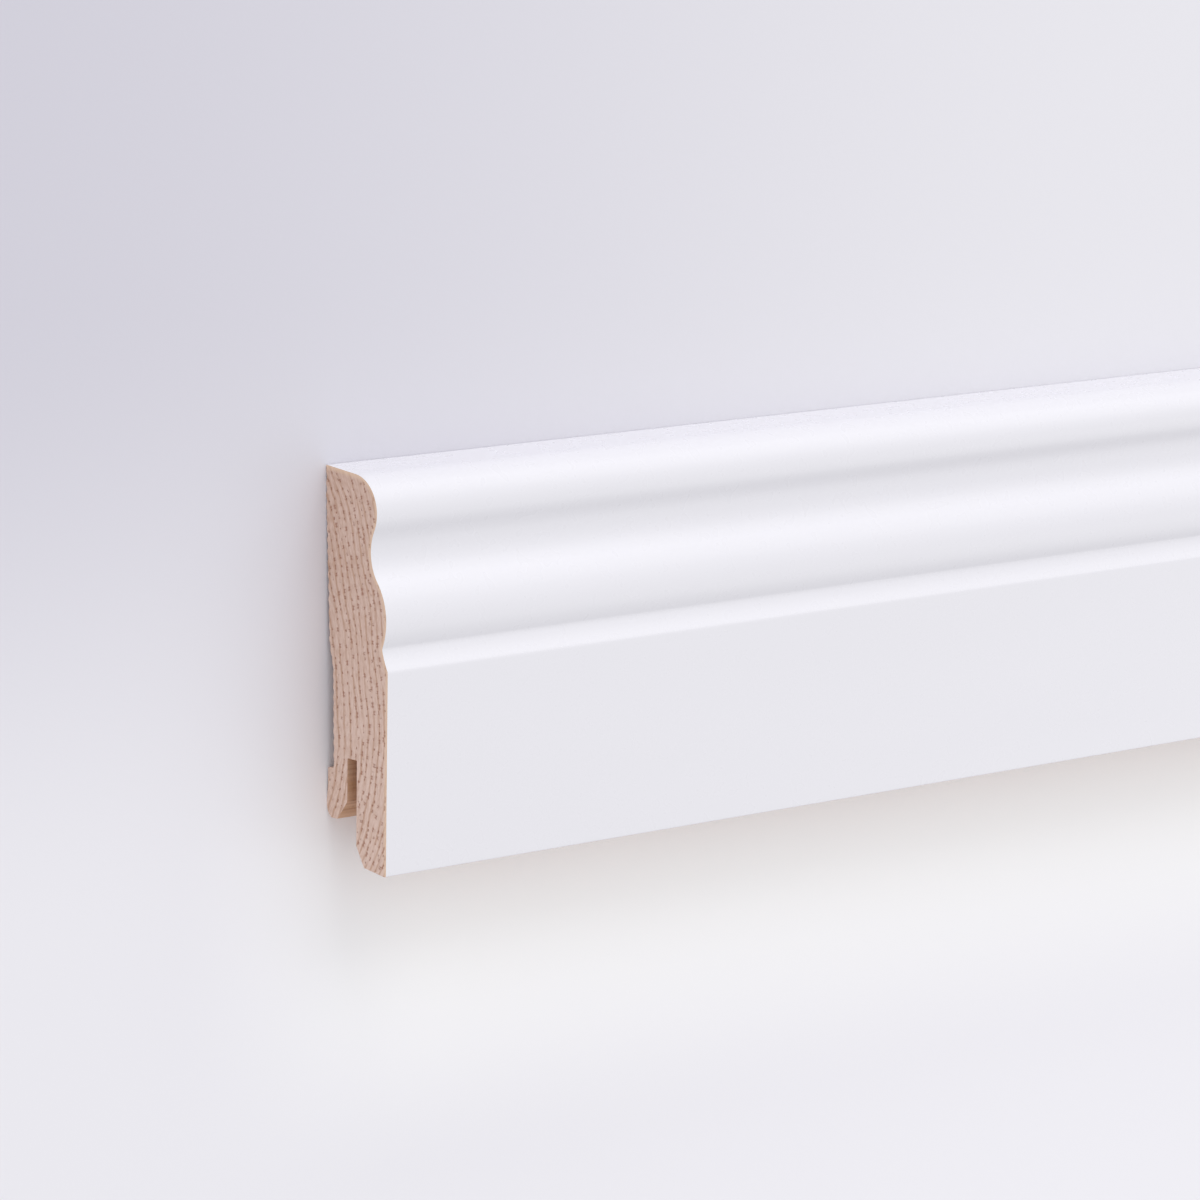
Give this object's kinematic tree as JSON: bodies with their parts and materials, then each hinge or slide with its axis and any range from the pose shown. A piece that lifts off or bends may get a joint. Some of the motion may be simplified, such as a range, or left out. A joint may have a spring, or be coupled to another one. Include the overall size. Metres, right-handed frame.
{
  "type": "skirting board length",
  "caption": "Hardwood skirting board with a moulded ogee face lacquered white, a hollowed back and a lip with a clip groove and cable rebate.",
  "frame": {"origin": "centre of the footprint at the level it rests on, board lying on its back", "axes": "+X along the length, +Y from the foot towards the top edge, +Z out of the moulded face"},
  "size_m": [2.5, 0.0802, 0.0195],
  "materials": {
    "lacquered_hardwood": "satin white lacquer on face and top, raw planed wood on the back, groove and foot, raw sawn ends"
  },
  "bodies": {
    "root": {"skirting_board": "lacquered_hardwood"}
  },
  "joints": []
}
